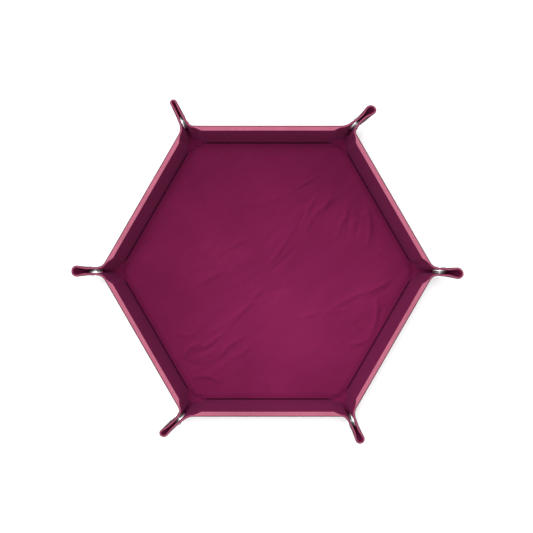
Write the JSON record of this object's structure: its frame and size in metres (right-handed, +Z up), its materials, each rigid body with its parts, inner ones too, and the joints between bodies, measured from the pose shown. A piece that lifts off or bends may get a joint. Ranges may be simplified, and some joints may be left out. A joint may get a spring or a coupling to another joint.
{
  "type": "folding dice tray",
  "caption": "Hexagonal folding dice tray: stiff lined base and walls that stand up when the corner ears are snapped shut, and fold down flat.",
  "frame": {"origin": "centre of the underside of the base, on the table", "axes": "+Z up, out of the tray; +X towards a corner ear, the longest way across; +Y towards the middle of a wall"},
  "size_m": [0.2598, 0.2278, 0.0368],
  "materials": {
    "outer_leather": "satin",
    "ear_leather": "satin",
    "inner_lining": "matte",
    "stiff_board": "matte",
    "snap_metal": "polished"
  },
  "bodies": {
    "base": {"base_cover": "outer_leather", "base_board": "stiff_board", "base_lining": "inner_lining"},
    "wall_1": {"wall_1_cover": "outer_leather", "wall_1_board": "stiff_board", "wall_1_lining": "inner_lining"},
    "wall_2": {"wall_2_cover": "outer_leather", "wall_2_board": "stiff_board", "wall_2_lining": "inner_lining"},
    "wall_3": {"wall_3_cover": "outer_leather", "wall_3_board": "stiff_board", "wall_3_lining": "inner_lining"},
    "wall_4": {"wall_4_cover": "outer_leather", "wall_4_board": "stiff_board", "wall_4_lining": "inner_lining"},
    "wall_5": {"wall_5_cover": "outer_leather", "wall_5_board": "stiff_board", "wall_5_lining": "inner_lining"},
    "wall_6": {"wall_6_cover": "outer_leather", "wall_6_board": "stiff_board", "wall_6_lining": "inner_lining"},
    "ear_1_cap_flap_body": {"ear_1_cap_flap": "ear_leather", "snap_1_cap": "snap_metal", "snap_1_socket": "snap_metal"},
    "ear_1_stud_flap_body": {"ear_1_stud_flap": "ear_leather", "snap_1_stud": "snap_metal", "snap_1_post": "snap_metal"},
    "ear_2_cap_flap_body": {"ear_2_cap_flap": "ear_leather", "snap_2_cap": "snap_metal", "snap_2_socket": "snap_metal"},
    "ear_2_stud_flap_body": {"ear_2_stud_flap": "ear_leather", "snap_2_stud": "snap_metal", "snap_2_post": "snap_metal"},
    "ear_3_cap_flap_body": {"ear_3_cap_flap": "ear_leather", "snap_3_cap": "snap_metal", "snap_3_socket": "snap_metal"},
    "ear_3_stud_flap_body": {"ear_3_stud_flap": "ear_leather", "snap_3_stud": "snap_metal", "snap_3_post": "snap_metal"},
    "ear_4_cap_flap_body": {"ear_4_cap_flap": "ear_leather", "snap_4_cap": "snap_metal", "snap_4_socket": "snap_metal"},
    "ear_4_stud_flap_body": {"ear_4_stud_flap": "ear_leather", "snap_4_stud": "snap_metal", "snap_4_post": "snap_metal"},
    "ear_5_cap_flap_body": {"ear_5_cap_flap": "ear_leather", "snap_5_cap": "snap_metal", "snap_5_socket": "snap_metal"},
    "ear_5_stud_flap_body": {"ear_5_stud_flap": "ear_leather", "snap_5_stud": "snap_metal", "snap_5_post": "snap_metal"},
    "ear_6_cap_flap_body": {"ear_6_cap_flap": "ear_leather", "snap_6_cap": "snap_metal", "snap_6_socket": "snap_metal"},
    "ear_6_stud_flap_body": {"ear_6_stud_flap": "ear_leather", "snap_6_stud": "snap_metal", "snap_6_post": "snap_metal"}
  },
  "joints": [
    {"name": "wall_1_fold", "type": "hinge", "parent": "base", "child": "wall_1", "pos_m": [0.07993, 0.04615, 0.0008], "axis": [-0.5, 0.866, 0], "range_deg": [0, 85]},
    {"name": "wall_2_fold", "type": "hinge", "parent": "base", "child": "wall_2", "pos_m": [0, 0.0923, 0.0008], "axis": [-1, 0, 0], "range_deg": [0, 85]},
    {"name": "wall_3_fold", "type": "hinge", "parent": "base", "child": "wall_3", "pos_m": [-0.07993, 0.04615, 0.0008], "axis": [-0.5, -0.866, 0], "range_deg": [0, 85]},
    {"name": "wall_4_fold", "type": "hinge", "parent": "base", "child": "wall_4", "pos_m": [-0.07993, -0.04615, 0.0008], "axis": [0.5, -0.866, 0], "range_deg": [0, 85]},
    {"name": "wall_5_fold", "type": "hinge", "parent": "base", "child": "wall_5", "pos_m": [0, -0.0923, 0.0008], "axis": [1, 0, 0], "range_deg": [0, 85]},
    {"name": "wall_6_fold", "type": "hinge", "parent": "base", "child": "wall_6", "pos_m": [0.07993, -0.04615, 0.0008], "axis": [0.5, 0.866, 0], "range_deg": [0, 85]},
    {"name": "ear_1_cap_fold", "type": "hinge", "parent": "wall_1", "child": "ear_1_cap_flap_body", "pos_m": [0.05435, 0.09046, 0.0008], "axis": [0.0613, 0.0681, 0.9958], "range_deg": [0, 72.1]},
    {"name": "ear_1_stud_fold", "type": "hinge", "parent": "wall_2", "child": "ear_1_stud_flap_body", "pos_m": [0.0509, 0.0923, 0.0008], "axis": [-0.0782, -0.0869, -0.9931], "range_deg": [0, 48.3]},
    {"name": "ear_2_cap_fold", "type": "hinge", "parent": "wall_2", "child": "ear_2_cap_flap_body", "pos_m": [-0.05115, 0.0923, 0.0008], "axis": [-0.037, 0.0871, 0.9955], "range_deg": [0, 67.2]},
    {"name": "ear_2_stud_fold", "type": "hinge", "parent": "wall_3", "child": "ear_2_stud_flap_body", "pos_m": [-0.05443, 0.09032, 0.0008], "axis": [0.0425, -0.1002, -0.9941], "range_deg": [0, 53.2]},
    {"name": "ear_3_cap_fold", "type": "hinge", "parent": "wall_3", "child": "ear_3_cap_flap_body", "pos_m": [-0.10548, 0.0019, 0.0008], "axis": [-0.1005, 0, 0.9949], "range_deg": [0, 60.2]},
    {"name": "ear_3_stud_fold", "type": "hinge", "parent": "wall_4", "child": "ear_3_stud_flap_body", "pos_m": [-0.10548, -0.0019, 0.0008], "axis": [0.1005, 0, -0.9949], "range_deg": [0, 60.2]},
    {"name": "ear_4_cap_fold", "type": "hinge", "parent": "wall_4", "child": "ear_4_cap_flap_body", "pos_m": [-0.05435, -0.09046, 0.0008], "axis": [-0.0613, -0.0681, 0.9958], "range_deg": [0, 72.1]},
    {"name": "ear_4_stud_fold", "type": "hinge", "parent": "wall_5", "child": "ear_4_stud_flap_body", "pos_m": [-0.0509, -0.0923, 0.0008], "axis": [0.0782, 0.0869, -0.9931], "range_deg": [0, 48.3]},
    {"name": "ear_5_cap_fold", "type": "hinge", "parent": "wall_5", "child": "ear_5_cap_flap_body", "pos_m": [0.05115, -0.0923, 0.0008], "axis": [0.037, -0.0871, 0.9955], "range_deg": [0, 67.2]},
    {"name": "ear_5_stud_fold", "type": "hinge", "parent": "wall_6", "child": "ear_5_stud_flap_body", "pos_m": [0.05443, -0.09032, 0.0008], "axis": [-0.0425, 0.1002, -0.9941], "range_deg": [0, 53.2]},
    {"name": "ear_6_cap_fold", "type": "hinge", "parent": "wall_6", "child": "ear_6_cap_flap_body", "pos_m": [0.10549, -0.00188, 0.0008], "axis": [0.0985, -0.0034, 0.9951], "range_deg": [0, 62.2]},
    {"name": "ear_6_stud_fold", "type": "hinge", "parent": "wall_1", "child": "ear_6_stud_flap_body", "pos_m": [0.10547, 0.00192, 0.0008], "axis": [-0.1026, 0.0036, -0.9947], "range_deg": [0, 58.2]}
  ],
  "couplings": [
    {"joint": "ear_1_cap_fold", "follows": "wall_1_fold", "ratio": 0.84789},
    {"joint": "ear_1_stud_fold", "follows": "wall_2_fold", "ratio": 0.56701},
    {"joint": "ear_2_cap_fold", "follows": "wall_2_fold", "ratio": 0.78932},
    {"joint": "ear_2_stud_fold", "follows": "wall_3_fold", "ratio": 0.62546},
    {"joint": "ear_3_cap_fold", "follows": "wall_3_fold", "ratio": 0.70736},
    {"joint": "ear_3_stud_fold", "follows": "wall_4_fold", "ratio": 0.70736},
    {"joint": "ear_4_cap_fold", "follows": "wall_4_fold", "ratio": 0.84789},
    {"joint": "ear_4_stud_fold", "follows": "wall_5_fold", "ratio": 0.56701},
    {"joint": "ear_5_cap_fold", "follows": "wall_5_fold", "ratio": 0.78932},
    {"joint": "ear_5_stud_fold", "follows": "wall_6_fold", "ratio": 0.62546},
    {"joint": "ear_6_cap_fold", "follows": "wall_6_fold", "ratio": 0.73077},
    {"joint": "ear_6_stud_fold", "follows": "wall_1_fold", "ratio": 0.68395}
  ]
}
